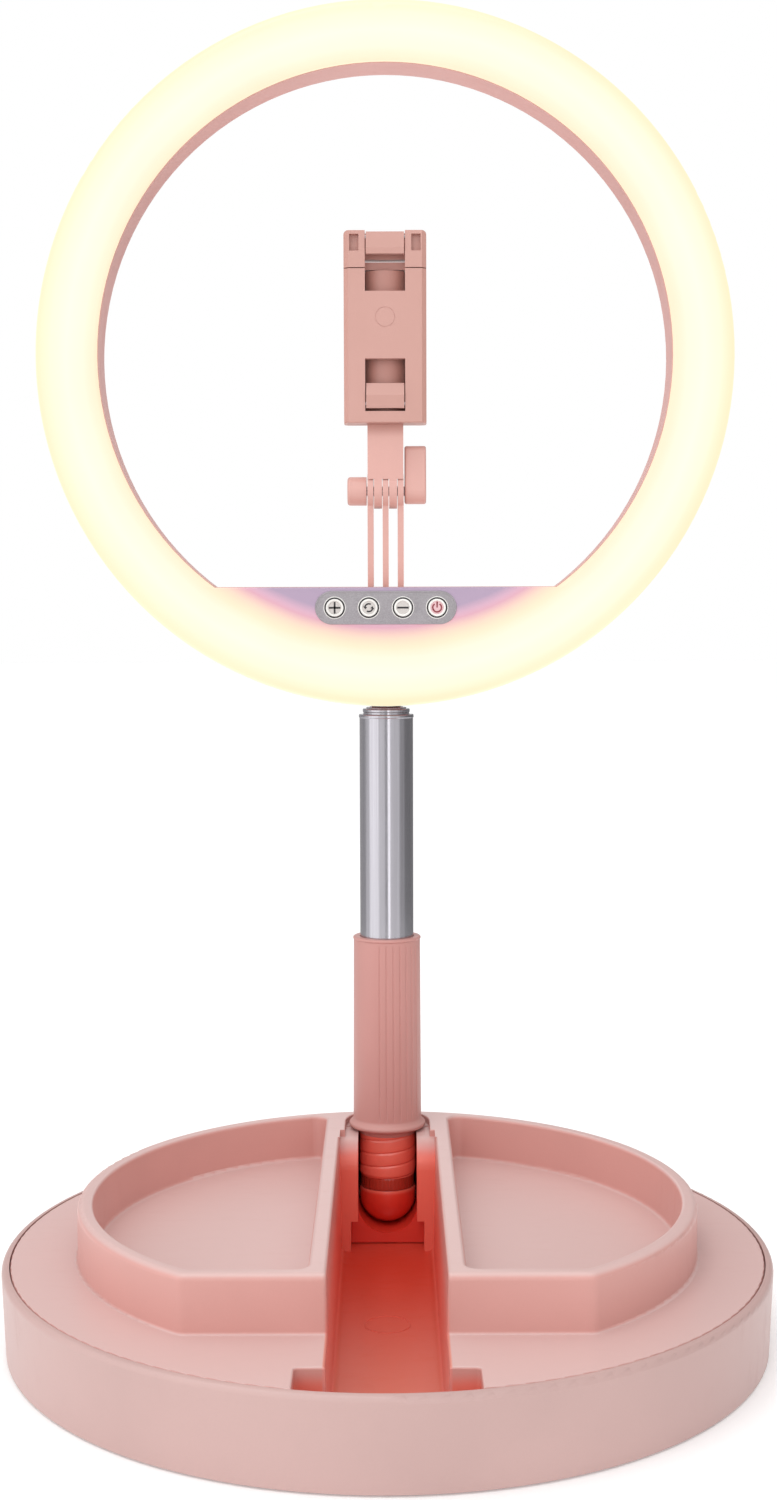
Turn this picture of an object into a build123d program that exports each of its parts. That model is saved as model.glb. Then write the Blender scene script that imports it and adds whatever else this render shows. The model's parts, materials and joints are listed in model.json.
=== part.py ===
from build123d import *
import math
import os

# Folding ring light: a round base with a storage tray, a telescopic pole that folds into the
# base's channel, and a ring lamp with a phone holder that folds back flat over the base.
# Millimetres. Z is up, the lamp faces -Y, the origin is the centre of the base on the table.

# Base
BASE_R = 140.0
BASE_FOOT_R = 138.7
SHELL_WALL = 2.9
COVER_Z = (0.8, 2.2)
FOOT_Z = (0.0, 1.4)
DECK_Z = 31.2
DECK_R = 136.8
SKIN = 2.4

# Raised tray on the deck
TRAY_R = 113.0
TRAY_TOP = 51.0
TRAY_CHORD_Y = -91.2
TRAY_WALL = 6.4
TRAY_FLOOR = 33.0
DIVIDER_X = 26.5
TRAY_DRAFT = 2.5

# Channel that the folded pole lies in, and the slot for the ring's hinge at its front end
CHANNEL_TOP_X = 19.5
CHANNEL_FLOOR_X = 18.7
CHANNEL_FLOOR = 3.5
HINGE_SLOT_X = 28.7
HINGE_SLOT_Y = -117.5
HINGE_SLOT_FLOOR = 14.0

# Pole
POLE_Y = 96.0
PIVOT_Z = 20.0
PIVOT_PIN_R = 2.5
FOOT_R = 11.7
THREAD_CORE_R = 11.2
THREAD_Z = (29.0, 64.0)
TUBE_R = (11.1, 9.5, 8.1, 6.8, 5.5)
TUBE_WALL = 0.8
TUBE_TOP = (222.0, 224.3, 224.9, 225.2, 225.5)
TUBE_FOOT = (64.0, 84.0, 86.0, 88.0, 90.0)
RING_LENGTH = 8.0
SLIDE_FIT = 0.03
SLEEVE_Z = (49.1, 129.5)
SLEEVE_R = (14.2, 13.8)
SLEEVE_FLANGE_R = 16.0
SLEEVE_BORE = 12.0

# Tower that holds the pole's hinge, at the back of the channel
TOWER_Y = 70.0
SLOT_X = 12.1
SEAT_R = 17.5
SEAT_Z = 48.4
SEAT_GAP_X = 9.5
LIP_RADIUS = 11.0
CRADLE_X = 15.0
CRADLE_Y = (80.0, 111.0)
CRADLE_Z = (3.9, 36.0)

# Ring lamp
RING_Z = 366.0
RING_R = 140.0
HOLE_R = 114.6
FRONT_Y = 73.5
BACK_Y = 92.5
HOUSING_FRONT_Y = 80.0
PANEL_TOP_Z = RING_Z - 91.8
PANEL_BACK_Y = 82.0
LAMP_WALL = 1.6
LED_COUNT = 60

# Hinge between the pole and the ring
HINGE = (100.0, 241.0)
HINGE_PIN_R = 2.0
TONGUE_X = 6.0
EAR_X = (6.5, 27.5)
EAR_Y = (92.5, 107.0)
EAR_Z = (232.4, 246.0)

# Places on the lamp's back, as (x, z): power inlet, ear screws and closing screws
PORT = (40.0, 240.0)
EAR_SCREWS = [(x, 234.6) for x in (-23.0, -11.0, 11.0, 23.0)]

# Control panel
PILL = (56.6, 13.1)
PILL_Z = 265.8
BUTTON_R = 3.9
BUTTON_X = (-20.55, -6.85, 6.85, 20.55)
BUTTON_TRAVEL = 0.6

# Arm and phone holder
ARM_PIVOT = (87.0, 263.0)
ARM_PIN_R = 1.5
AXLE = (85.0, 313.0)
AXLE_R = 2.0
FIN = 2.4
FIN_X = (-6.1, 0.0, 6.1)
HOLDER_X = 16.5
HOLDER_Y = (75.5, 86.5)
HOLDER_Z = (339.6, 400.5)
SLIDER_Z = (400.9, 415.4)
COVER_SPLIT_Y = 79.0
WINDOW_X = 8.0
UPPER_WINDOW_Z = (391.6, 420.0)
LOWER_WINDOW_Z = (344.2, 365.0)
RECESS_Z = 381.4
JAW_GAP_Z = (404.0, 405.0)
JAW_POCKET_Z = (407.4, 414.0)
LIP_X = 7.6
UPPER_LIP_PIN = (77.2, 413.0)
LOWER_LIP_PIN = (77.2, 347.2)
LIP_PIN_R = 0.9
LEG_X = (10.4, 14.0)
LEG_FOOT_Z = 349.6
SPRING_X = 9.2
SPRING_Z = (356.0, 396.0)


def block(x, y, z):
    """A box between two corners, each direction given as (low, high)."""
    low, high = zip(x, y, z)
    size = [b - a for a, b in zip(low, high)]
    middle = [(a + b) / 2 for a, b in zip(low, high)]
    return Pos(*middle) * Box(*size)


def upright(centre, radius, z):
    """A cylinder along Z at centre (x, y), between two heights."""
    return Pos(centre[0], centre[1], (z[0] + z[1]) / 2) * Cylinder(radius, z[1] - z[0])


def crosswise(centre, radius, x):
    """A cylinder along X at centre (y, z), between two places on X."""
    middle = Pos((x[0] + x[1]) / 2, centre[0], centre[1])
    return middle * Rot(0, 90, 0) * Cylinder(radius, x[1] - x[0])


def lengthwise(centre, radius, y):
    """A cylinder along Y at centre (x, z), between two places on Y."""
    middle = Pos(centre[0], (y[0] + y[1]) / 2, centre[1])
    return middle * Rot(90, 0, 0) * Cylinder(radius, y[1] - y[0])


def tube(radius, bore, z, centre=(0.0, POLE_Y)):
    """A round tube along the pole."""
    return upright(centre, radius, z) - upright(centre, bore, (z[0] - 1, z[1] + 1))


def slab(outline, y):
    """An outline drawn in X and Z, made solid between two places on Y."""
    return extrude(Plane.XZ.offset(-y[1]) * outline, y[1] - y[0])


def side_plate(outline, x):
    """An outline drawn in Y and Z, made solid between two places on X."""
    return extrude(Plane.YZ.offset(x[0]) * outline, x[1] - x[0])


def around_ring(section):
    """A section drawn as (radius, y), turned about the ring's axis."""
    drawn = Plane((0, 0, RING_Z), x_dir=(1, 0, 0), z_dir=(0, 0, 1)) * section
    return revolve(drawn, Axis((0, 0, RING_Z), (0, 1, 0)))


def around_base(section):
    """A section drawn as (radius, z), turned about the base's axis."""
    return revolve(Plane.XZ * section, Axis.Z)


def outline_of(*points):
    """A face inside a closed run of straight edges."""
    return make_face(Polyline(*points, close=True))


def on_circle(count, radius, first=0.0):
    """Evenly spaced places on a circle, as (x, y)."""
    turns = [math.radians(first + 360.0 * n / count) for n in range(count)]
    return [(radius * math.cos(t), radius * math.sin(t)) for t in turns]


def rounded(solid, axis, radius):
    """The solid with every edge that runs along an axis rounded."""
    return fillet(solid.edges().filter_by(axis), radius)


def level_edges(solid, z, wanted):
    """Edges that lie level at a height, where wanted(x, y) holds at their middle."""
    level = [e for e in solid.edges() if e.bounding_box().size.Z < 0.05]
    middles = [(e, e @ 0.5) for e in level]
    return [e for e, m in middles if abs(m.Z - z) < 0.05 and wanted(m.X, m.Y)]


def save(name, *solids):
    """One sub-part's STEP file. Several solids are a group of separate pieces."""
    shape = solids[0] if len(solids) == 1 else Compound(children=list(solids))
    shape.label = name
    export_step(shape, f"parts/{name}.step")


SCREW_RING = [(x, RING_Z + z) for x, z in on_circle(8, 136.5, 22.5)]

# ---- Base ----

SCREW_PLACES = on_circle(6, 124.0)
FOOT_PLACES = on_circle(6, 112.0, 30.0)


def base_shell():
    """The outer wall of the base, with a rounded rim and a ledge under the deck."""
    outer = outline_of(
        (BASE_FOOT_R, COVER_Z[0]),
        (BASE_R, DECK_Z),
        (DECK_R + 0.4, DECK_Z),
        (DECK_R + 0.4, DECK_Z - SKIN - 0.1),
        (DECK_R - 3.0, DECK_Z - SKIN - 0.1),
        (DECK_R - 3.0, DECK_Z - SKIN - 2.2),
        (DECK_R + 0.4, DECK_Z - SKIN - 5.0),
        (BASE_FOOT_R - SHELL_WALL + 0.9, COVER_Z[1] + 0.2),
        (BASE_FOOT_R - SHELL_WALL + 0.9, COVER_Z[0]),
    )
    shell = around_base(outer)
    rim = [e for e in shell.edges() if abs(e.center().Z - DECK_Z) < 0.01]
    outermost = max(rim, key=lambda e: e.bounding_box().size.X)
    shell = fillet(outermost, 2.2)
    front_gap = block((-31.5, 31.5), (-BASE_R, -100), (COVER_Z[1] + 0.05, DECK_Z - SKIN + 0.1))
    return shell - (front_gap & upright((0, 0), DECK_R + 0.4, (0, DECK_Z)))


def tray_outline(radius, chord_y):
    """A disc with its front cut off straight."""
    return Circle(radius) & Pos(0, chord_y + radius) * Rectangle(2 * radius, 2 * radius)


def compartment_outline(side):
    """One tray compartment at its floor. side is -1 or 1."""
    whole = tray_outline(TRAY_R - TRAY_WALL, TRAY_CHORD_Y + TRAY_WALL)
    half = Pos(side * (DIVIDER_X + TRAY_R), 0) * Rectangle(2 * TRAY_R, 2 * TRAY_R)
    return fillet((whole & half).vertices(), 4.0)


def compartments():
    """The space in both compartments, with draft, wider at the mouth."""
    height = TRAY_TOP - TRAY_FLOOR + 0.5
    cuts = [
        extrude(Pos(0, 0, TRAY_FLOOR) * compartment_outline(side), height, taper=-TRAY_DRAFT)
        for side in (-1, 1)
    ]
    return [fillet(c.faces().sort_by(Axis.Z)[0].edges(), 1.5) for c in cuts]


def tray_cores():
    """Hollows under the compartment floors and up inside the double outer wall."""
    inner = tray_outline(TRAY_R - 2.2, TRAY_CHORD_Y + 2.2)
    sides = Rectangle(400, 400) - Rectangle(2 * (DIVIDER_X - 2.0), 400)
    floors = extrude(Pos(0, 0, DECK_Z - SKIN - 1) * (inner & sides), TRAY_FLOOR - SKIN - DECK_Z + SKIN + 1)
    wall = inner - tray_outline(TRAY_R - TRAY_WALL + 2.2, TRAY_CHORD_Y + TRAY_WALL - 2.2)
    walls = extrude(Pos(0, 0, DECK_Z - SKIN - 1) * (wall & sides), TRAY_TOP - DECK_Z)
    return floors + walls


def channel_space():
    """The pole's channel, with draft and rounded floor corners."""
    section = outline_of(
        (-CHANNEL_FLOOR_X, CHANNEL_FLOOR),
        (CHANNEL_FLOOR_X, CHANNEL_FLOOR),
        (CHANNEL_TOP_X + 0.1, TRAY_TOP + 2),
        (-CHANNEL_TOP_X - 0.1, TRAY_TOP + 2),
    )
    section = fillet(section.vertices().sort_by(Axis.Y)[:2], 2.5)
    return slab(section, (-BASE_R, TOWER_Y))


def tower_cuts():
    """Slot, seat and pin-cradle pocket of the tower that the pole stands in."""
    slot_z = (CRADLE_Z[0] + 12.0, TRAY_TOP + 1)
    slot = block((-SLOT_X, SLOT_X), (TOWER_Y - 1, POLE_Y), slot_z)
    well = upright((0, POLE_Y), SLOT_X, slot_z)
    seat = upright((0, POLE_Y), SEAT_R, (SEAT_Z, TRAY_TOP + 1))
    apron = block((-SEAT_R, SEAT_R), (TOWER_Y - 1, POLE_Y), (SEAT_Z - 0.2, TRAY_TOP + 1))
    rear_gap = block((-SEAT_GAP_X, SEAT_GAP_X), (100, 120), (SEAT_Z, TRAY_TOP + 1))
    window = block((-CRADLE_X, CRADLE_X), (TOWER_Y - 1, CRADLE_Y[0] + 1), (CHANNEL_FLOOR, slot_z[0]))
    pocket = block(
        (-CRADLE_X - 0.1, CRADLE_X + 0.1),
        (CRADLE_Y[0] - 0.1, CRADLE_Y[1] + 0.1),
        (CHANNEL_FLOOR, CRADLE_Z[1]),
    )
    lip_y, lip_z = TOWER_Y + LIP_RADIUS, SEAT_Z - 0.2 - LIP_RADIUS
    corner = block((-60, 60), (TOWER_Y - 1, lip_y), (lip_z, TRAY_TOP + 1))
    corner -= crosswise((lip_y, lip_z), LIP_RADIUS, (-61, 61))
    rounding = corner & block((-CHANNEL_TOP_X, CHANNEL_TOP_X), (0, 200), (0, TRAY_TOP + 2))
    return [slot, well, seat, apron, rear_gap, window, pocket, rounding]


def is_compartment_rim(x, y):
    """Whether an edge at the tray's top goes round the mouth of a compartment."""
    return abs(x) > DIVIDER_X - 1.5 and y > TRAY_CHORD_Y + 4 and math.hypot(x, y) < TRAY_R - 4


def is_channel_mouth(x, y):
    """Whether an edge at the tray's top runs along the channel."""
    return abs(abs(x) - CHANNEL_TOP_X) < 0.3


def is_front_mouth(x, y):
    """Whether an edge on the deck goes round the open front of the channel and hinge slot."""
    return abs(x) < HINGE_SLOT_X + 0.5 and y < TRAY_CHORD_Y - 0.5 and math.hypot(x, y) < DECK_R - 0.5


def is_seat_edge(x, y):
    """Whether an edge at the tray's top goes round the sleeve's seat."""
    return abs(x) < SEAT_R + 1 and TOWER_Y - 2 < y < TRAY_R


def is_tray_foot(x, y):
    """Whether an edge on the deck runs round the foot of the tray's wall."""
    return y > TRAY_CHORD_Y - 0.5 and math.hypot(x, y) < TRAY_R + 1


def deck_envelope():
    """All the room the top moulding may fill: the deck with its rim rounded, and the tray above it."""
    deck = upright((0, 0), DECK_R, (0, DECK_Z))
    deck = fillet(deck.faces().sort_by(Axis.Z)[-1].edges(), 0.5)
    return deck + upright((0, 0), TRAY_R + 3, (DECK_Z - 1, TRAY_TOP + 5))


def deck_tray():
    """The top moulding: deck, tray walls, channel, hinge slot and hinge tower."""
    raised = extrude(
        Pos(0, 0, DECK_Z - SKIN) * fillet(tray_outline(TRAY_R, TRAY_CHORD_Y).vertices(), 5.0),
        TRAY_TOP - DECK_Z + SKIN,
    )
    raised = fillet(raised.faces().sort_by(Axis.Z)[-1].edges(), 2.4)
    body = upright((0, 0), DECK_R, (DECK_Z - SKIN, DECK_Z)) + raised
    body -= tray_cores()
    body += block((-CHANNEL_TOP_X - 2.4, CHANNEL_TOP_X + 2.4), (-BASE_R, 100), (COVER_Z[1] + 0.1, DECK_Z))
    body += block((-HINGE_SLOT_X - 2.2, HINGE_SLOT_X + 2.2), (-BASE_R, HINGE_SLOT_Y + 2.2), (11.6, DECK_Z))
    body += block((-CHANNEL_TOP_X - 2.4, CHANNEL_TOP_X + 2.4), (TOWER_Y, 111.1), (COVER_Z[1] + 0.1, DECK_Z))
    for cut in compartments():
        body -= cut
    body = fillet(level_edges(body, TRAY_TOP, is_compartment_rim), 1.4)
    body -= channel_space()
    body = fillet(level_edges(body, TRAY_TOP, is_channel_mouth), 1.2)
    hinge_slot = block((-HINGE_SLOT_X, HINGE_SLOT_X), (-BASE_R, HINGE_SLOT_Y), (HINGE_SLOT_FLOOR, 60))
    body -= rounded(hinge_slot, Axis.Z, 1.5)
    for cut in tower_cuts():
        body -= cut
    body = fillet(level_edges(body, DECK_Z, is_front_mouth), 0.8)
    body = fillet(level_edges(body, TRAY_TOP, is_seat_edge), 0.6)
    body = fillet(level_edges(body, DECK_Z, is_tray_foot), 1.0)
    for place in SCREW_PLACES:
        body += upright(place, 4.0, (COVER_Z[1], DECK_Z - SKIN))
        body -= upright(place, 1.5, (COVER_Z[1] - 1, 18.0))
    mark = upright((0, -10), 8.5, (CHANNEL_FLOOR - 1, CHANNEL_FLOOR + 0.25))
    mark -= upright((0, -10), 8.0, (CHANNEL_FLOOR - 2, CHANNEL_FLOOR + 1))
    body += mark & block((-9, 9), (-20, 0), (CHANNEL_FLOOR - 0.5, CHANNEL_FLOOR + 1))
    return body & deck_envelope()


def bottom_cover():
    """Flat underside plate with counterbored screw holes and shallow foot seats."""
    plate = upright((0, 0), BASE_FOOT_R - SHELL_WALL + 0.8, COVER_Z)
    for place in SCREW_PLACES:
        plate -= upright(place, 1.6, (0, 5))
        plate -= upright(place, 3.2, (0, COVER_Z[0] + 0.8))
    for place in FOOT_PLACES:
        plate -= upright(place, 8.1, (0, FOOT_Z[1]))
    return plate


def cover_screws():
    """Six self-tapping screws that hold the cover to the deck."""
    return [
        upright(place, 3.0, (COVER_Z[0] + 0.1, COVER_Z[0] + 0.8))
        + upright(place, 1.5, (COVER_Z[0] + 0.8, 14.0))
        for place in SCREW_PLACES
    ]


def counterweights():
    """Two steel plates, one each side of the channel, that keep the light from tipping."""
    half = []
    for side in (-1, 1):
        outline = Circle(117.0) & Pos(side * 94.0, 0) * Rectangle(140.0, 220.0)
        plate = extrude(Pos(0, 0, COVER_Z[1]) * outline, 5.0)
        half.append(plate - block((-31.5, 31.5), (-130, -110), (0, 30)))
    return half


def hinge_cradle():
    """The U-shaped block under the tower that carries the pole's pivot pin."""
    outer = block((-CRADLE_X, CRADLE_X), CRADLE_Y, CRADLE_Z)
    trough = lengthwise((0, PIVOT_Z), SLOT_X, (CRADLE_Y[0] - 1, CRADLE_Y[1] + 1))
    above = block((-SLOT_X, SLOT_X), (CRADLE_Y[0] - 1, CRADLE_Y[1] + 1), (PIVOT_Z, 40))
    pin = crosswise((POLE_Y, PIVOT_Z), PIVOT_PIN_R, (-20, 20))
    return outer - trough - above - pin


# ---- Pole ----


def pole_foot():
    """Domed knuckle on the pivot pin, with the lock thread above and a spigot into the tube."""
    dome = Pos(0, POLE_Y, PIVOT_Z) * Sphere(FOOT_R)
    body = dome + upright((0, POLE_Y), FOOT_R, (PIVOT_Z, 24.0))
    body += upright((0, POLE_Y), 10.9, (24.0, THREAD_Z[0]))
    body += upright((0, POLE_Y), THREAD_CORE_R, THREAD_Z)
    body += upright((0, POLE_Y), TUBE_R[0] - TUBE_WALL, (THREAD_Z[1], THREAD_Z[1] + 15))
    return body - crosswise((POLE_Y, PIVOT_Z), PIVOT_PIN_R + 0.05, (-20, 20))


def section_tube(n):
    """Pole section n, counted from the outermost, which is 0."""
    return tube(TUBE_R[n], TUBE_R[n] - TUBE_WALL, (TUBE_FOOT[n], TUBE_TOP[n]))


def collar(n):
    """Guide ring inside the top of section n, which the next section slides in."""
    top = TUBE_TOP[n]
    return tube(TUBE_R[n] - TUBE_WALL, TUBE_R[n + 1] + SLIDE_FIT, (top - RING_LENGTH, top - 0.4))


def slide_ring(n):
    """Friction ring round the foot of section n, which runs in the section outside it."""
    foot = TUBE_FOOT[n]
    outer = TUBE_R[n - 1] - TUBE_WALL - SLIDE_FIT
    return tube(outer, TUBE_R[n], (foot, foot + RING_LENGTH))


def lock_sleeve():
    """Screwed sleeve that covers the pole's hinge and bears on the tower's seat."""
    section = outline_of(
        (SLEEVE_BORE, SLEEVE_Z[0]),
        (SLEEVE_FLANGE_R, SLEEVE_Z[0]),
        (SLEEVE_FLANGE_R, SLEEVE_Z[0] + 2.2),
        (SLEEVE_R[0], SLEEVE_Z[0] + 3.6),
        (SLEEVE_R[1], SLEEVE_Z[1] - 1.6),
        (SLEEVE_R[1] + 0.3, SLEEVE_Z[1] - 1.4),
        (SLEEVE_R[1] + 0.3, SLEEVE_Z[1]),
        (TUBE_R[0] + 0.1, SLEEVE_Z[1]),
        (TUBE_R[0] + 0.1, SLEEVE_Z[1] - 5),
        (SLEEVE_BORE, SLEEVE_Z[1] - 7),
    )
    turned = revolve(Plane.XZ * section, Axis.Z)
    return Pos(0, POLE_Y, 0) * turned


def neck_fitting():
    """Plug in the innermost section with the tongue that the ring's hinge pin goes through."""
    plug = upright((0, POLE_Y), TUBE_R[4] - TUBE_WALL, (200.0, 226.0))
    stem = block((-TONGUE_X, TONGUE_X), (93.0, 106.8), (225.8, HINGE[1]))
    eye = crosswise(HINGE, 6.8, (-TONGUE_X, TONGUE_X))
    plug -= block((-20, 20), (80, 93.0), (225.6, 230))
    return plug + stem + eye - crosswise(HINGE, HINGE_PIN_R + 0.05, (-10, 10))


def hinge_ears():
    """Two lugs on the back of the ring, either side of the neck's tongue."""
    centre = Pos(sum(EAR_Y) / 2, sum(EAR_Z) / 2)
    outline = centre * Rectangle(EAR_Y[1] - EAR_Y[0], EAR_Z[1] - EAR_Z[0])
    back = [v for v in outline.vertices() if v.X > HINGE[0]]
    outline = fillet(back, 5.0)
    ears = []
    for side in (-1, 1):
        x = sorted((side * EAR_X[0], side * EAR_X[1]))
        ear = side_plate(outline, x) - crosswise(HINGE, HINGE_PIN_R + 0.05, (-40, 40))
        for place in EAR_SCREWS:
            ear -= lengthwise(place, 1.4, (BACK_Y - 1, BACK_Y + 7.0))
        ears.append(ear)
    return ears


def hinge_pin():
    """Friction pin through the ears and the tongue, with a head at one end."""
    return crosswise(HINGE, HINGE_PIN_R, (-26.5, 26.5))


# ---- Ring lamp ----


def disc(radius):
    """A disc drawn in X and Z about the ring's centre."""
    return Pos(0, RING_Z) * Circle(radius)


def below(z):
    """Everything under a height, drawn in X and Z."""
    return Pos(0, z - 200) * Rectangle(600, 400)


def front_diffuser():
    """Opal front cover: a crowned band round the ring and the plain panel under the hole."""
    band = outline_of(
        (HOLE_R + 0.3, FRONT_Y + 2.2),
        (HOLE_R + 0.3, FRONT_Y),
        (RING_R, FRONT_Y),
        (RING_R, HOUSING_FRONT_Y),
        (RING_R - LAMP_WALL, HOUSING_FRONT_Y),
        (RING_R - LAMP_WALL, FRONT_Y + LAMP_WALL),
        (HOLE_R + 2.0, FRONT_Y + LAMP_WALL),
        (HOLE_R + 2.0, FRONT_Y + 2.2),
    )
    corner = [v for v in band.vertices() if v.X > RING_R - 0.1 and v.Y < FRONT_Y + 0.1]
    band = fillet(corner, 5.5)
    corner = [v for v in band.vertices() if v.X > RING_R - 2 and abs(v.Y - FRONT_Y - LAMP_WALL) < 0.1]
    band = fillet(corner, 4.0)
    corner = [v for v in band.vertices() if v.X < HOLE_R + 0.4 and v.Y < FRONT_Y + 0.1]
    band = fillet(corner, 1.4)
    panel = slab(disc(HOLE_R + 2.5) & below(PANEL_TOP_Z - 0.2), (FRONT_Y, FRONT_Y + LAMP_WALL))
    top = [e for e in panel.edges() if e.center().Z > PANEL_TOP_Z - 0.3 and e.center().Y < FRONT_Y + 0.1]
    panel = chamfer(top, 0.5)
    cover = around_ring(band) + panel
    cover -= slab(pill_outline(0.15), (FRONT_Y - 1, FRONT_Y + 3))
    return cover


def pill_outline(extra=0.0):
    """The control plate's rounded outline, drawn in X and Z."""
    width, height = PILL
    return Pos(0, PILL_Z) * SlotOverall(width + 2 * extra, height + 2 * extra)


def ring_housing():
    """Back shell of the lamp, open to the front, with a box behind the control panel."""
    inside_y = BACK_Y - LAMP_WALL
    wall_y = FRONT_Y + 2.3
    body = slab(disc(RING_R - 0.2) - disc(HOLE_R), (wall_y, BACK_Y))
    body += slab(disc(HOLE_R + 1) & below(PANEL_TOP_Z), (FRONT_Y + LAMP_WALL + 0.1, PANEL_BACK_Y))
    body -= slab(disc(RING_R - LAMP_WALL - 0.2) - disc(HOLE_R + LAMP_WALL), (wall_y - 2, inside_y))
    body -= slab(disc(HOLE_R + LAMP_WALL + 1) & below(PANEL_TOP_Z - LAMP_WALL), (70, PANEL_BACK_Y - LAMP_WALL))
    body -= slab(disc(RING_R + 1) - disc(RING_R - 3), (70, HOUSING_FRONT_Y + 0.15))
    body -= slab(disc(HOLE_R + 3) - disc(HOLE_R), (70, wall_y))
    outer_back = [
        e
        for e in body.edges()
        if abs(e.center().Y - BACK_Y) < 0.01 and e.bounding_box().size.X > 2 * RING_R - 2
    ]
    body = fillet(outer_back, 1.2)
    body -= slab(Pos(*PORT) * SlotOverall(9.4, 3.6), (80, 100))
    for x, z in SCREW_RING + EAR_SCREWS:
        body -= lengthwise((x, z), 1.5, (BACK_Y - 3, BACK_Y + 1))
    return body


def led_board():
    """Flat ring circuit board against the back of the housing."""
    board = slab(disc(135.0) - disc(119.0), (BACK_Y - LAMP_WALL - 1.2, BACK_Y - LAMP_WALL))
    board -= block((PORT[0] - 5.5, PORT[0] + 5.5), (80, 95), (225, PORT[1] + 2.5))
    for x, z in EAR_SCREWS:
        board -= lengthwise((x, z), 2.7, (80, 95))
    return board


def leds():
    """Light-emitting chips round the board."""
    y = (BACK_Y - LAMP_WALL - 2.0, BACK_Y - LAMP_WALL - 1.2)
    return [
        block((x - 1.7, x + 1.7), y, (RING_Z + z - 1.4, RING_Z + z + 1.4))
        for x, z in on_circle(LED_COUNT, 126.5)
    ]


def light_guide():
    """Thin spreading sheet between the chips and the opal cover."""
    return slab(disc(137.4) - disc(117.0), (HOUSING_FRONT_Y + 2.0, HOUSING_FRONT_Y + 3.2))


def control_plate():
    """Brushed keypad plate that fills the panel's pill-shaped opening."""
    plate = slab(pill_outline(), (FRONT_Y - 0.2, FRONT_Y + 1.2))
    for x in BUTTON_X:
        plate -= lengthwise((x, PILL_Z), BUTTON_R + 0.3, (70, 80))
    return plate


def button(x):
    """One push button: a round cap on a stem that reaches its switch."""
    cap = lengthwise((x, PILL_Z), BUTTON_R, (FRONT_Y - 0.6, FRONT_Y + 0.9))
    return cap + lengthwise((x, PILL_Z), 1.4, (FRONT_Y + 0.9, FRONT_Y + 2.2))


def control_board():
    """Small circuit board behind the buttons."""
    return block((-30, 30), (FRONT_Y + 4.6, FRONT_Y + 5.8), (PILL_Z - 6, PILL_Z + 6))


def switches():
    """Four tactile switches on the control board."""
    body_y, tip_y = FRONT_Y + 3.6, FRONT_Y + 2.2 + BUTTON_TRAVEL + 0.3
    return [
        block((x - 2.5, x + 2.5), (body_y, FRONT_Y + 4.6), (PILL_Z - 2.5, PILL_Z + 2.5))
        + lengthwise((x, PILL_Z), 1.2, (tip_y, body_y))
        for x in BUTTON_X
    ]


def usb_port():
    """Power inlet in the lamp's back, a steel shell with a contact tongue."""
    shell = slab(Pos(*PORT) * SlotOverall(9.2, 3.4), (BACK_Y - 6.0, BACK_Y - 0.2))
    shell -= slab(Pos(*PORT) * SlotOverall(8.6, 2.8), (BACK_Y - 5.4, BACK_Y + 1))
    tongue_x = (PORT[0] - 3.0, PORT[0] + 3.0)
    return shell + block(tongue_x, (BACK_Y - 5.6, BACK_Y - 1.2), (PORT[1] - 0.35, PORT[1] + 0.35))


def housing_screws():
    """Screws that close the lamp, sunk in its back."""
    return [lengthwise(place, 1.5, (BACK_Y - 3.0, BACK_Y - 0.3)) for place in SCREW_RING]


def ear_screws():
    """Screws from inside the lamp into the hinge ears."""
    head_y = (BACK_Y - LAMP_WALL - 1.0, BACK_Y - LAMP_WALL)
    return [
        lengthwise(place, 2.5, head_y) + lengthwise(place, 1.4, (head_y[1], BACK_Y + 7.0))
        for place in EAR_SCREWS
    ]


# ---- Arm and phone holder ----


def arm_bracket():
    """Comb on the panel's back that the arm's fins are pinned in."""
    ears = [(-10.4, -7.7), (-4.6, -1.5), (1.5, 4.6), (7.7, 10.4)]
    outline = outline_of((PANEL_BACK_Y, 252), (92.0, 252), (92.0, 263.0), (PANEL_BACK_Y, 269.0))
    outline = fillet([v for v in outline.vertices() if v.X > 90 and v.Y > 255], 4.0)
    body = block((-10.4, 10.4), (PANEL_BACK_Y, 92.0), (252, 257))
    for x in ears:
        body += side_plate(outline, x)
    return body - crosswise(ARM_PIVOT, ARM_PIN_R, (-20, 20))


def arm_fins():
    """Three flat fins that carry the phone holder."""
    foot = Pos(*ARM_PIVOT) * Circle(3.6)
    neck = Pos(AXLE[0], AXLE[1] - 6) * Circle(3.6)
    outline = make_hull(foot.edges() + neck.edges()) + Pos(*AXLE) * Circle(7.0)
    fins = []
    for x in FIN_X:
        fin = side_plate(outline, (x - FIN / 2, x + FIN / 2))
        fin -= crosswise(ARM_PIVOT, ARM_PIN_R + 0.05, (-20, 20))
        fins.append(fin - crosswise(AXLE, AXLE_R + 0.05, (-20, 20)))
    return fins


def arm_pin():
    """Pin through the bracket and the feet of the fins."""
    return crosswise(ARM_PIVOT, ARM_PIN_R, (-10.4, 10.4))


def clamp_bolt():
    """Bolt that squeezes the fins on the holder's tab, turned by the lever."""
    return crosswise(AXLE, AXLE_R, (-13.5, 12.0))


def clamp_lever():
    """Thumb lever on the right-hand end of the bolt."""
    hub = Pos(*AXLE) * Circle(5.2)
    tip = Pos(AXLE[0], AXLE[1] + 15.4) * Circle(2.8)
    lever = side_plate(make_hull(hub.edges() + tip.edges()), (7.7, 16.4))
    lever = fillet(lever.faces().filter_by(Axis.X).edges(), 0.9)
    lever -= crosswise(AXLE, AXLE_R, (0, 12.0))
    return lever


def cap_nut():
    """Round nut on the left-hand end of the bolt."""
    nut = crosswise(AXLE, 5.75, (-15.4, -7.7))
    nut = fillet([e for e in nut.edges() if e.center().X < -15], 1.2)
    return nut - crosswise(AXLE, AXLE_R + 0.03, (-13.6, 0))


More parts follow.
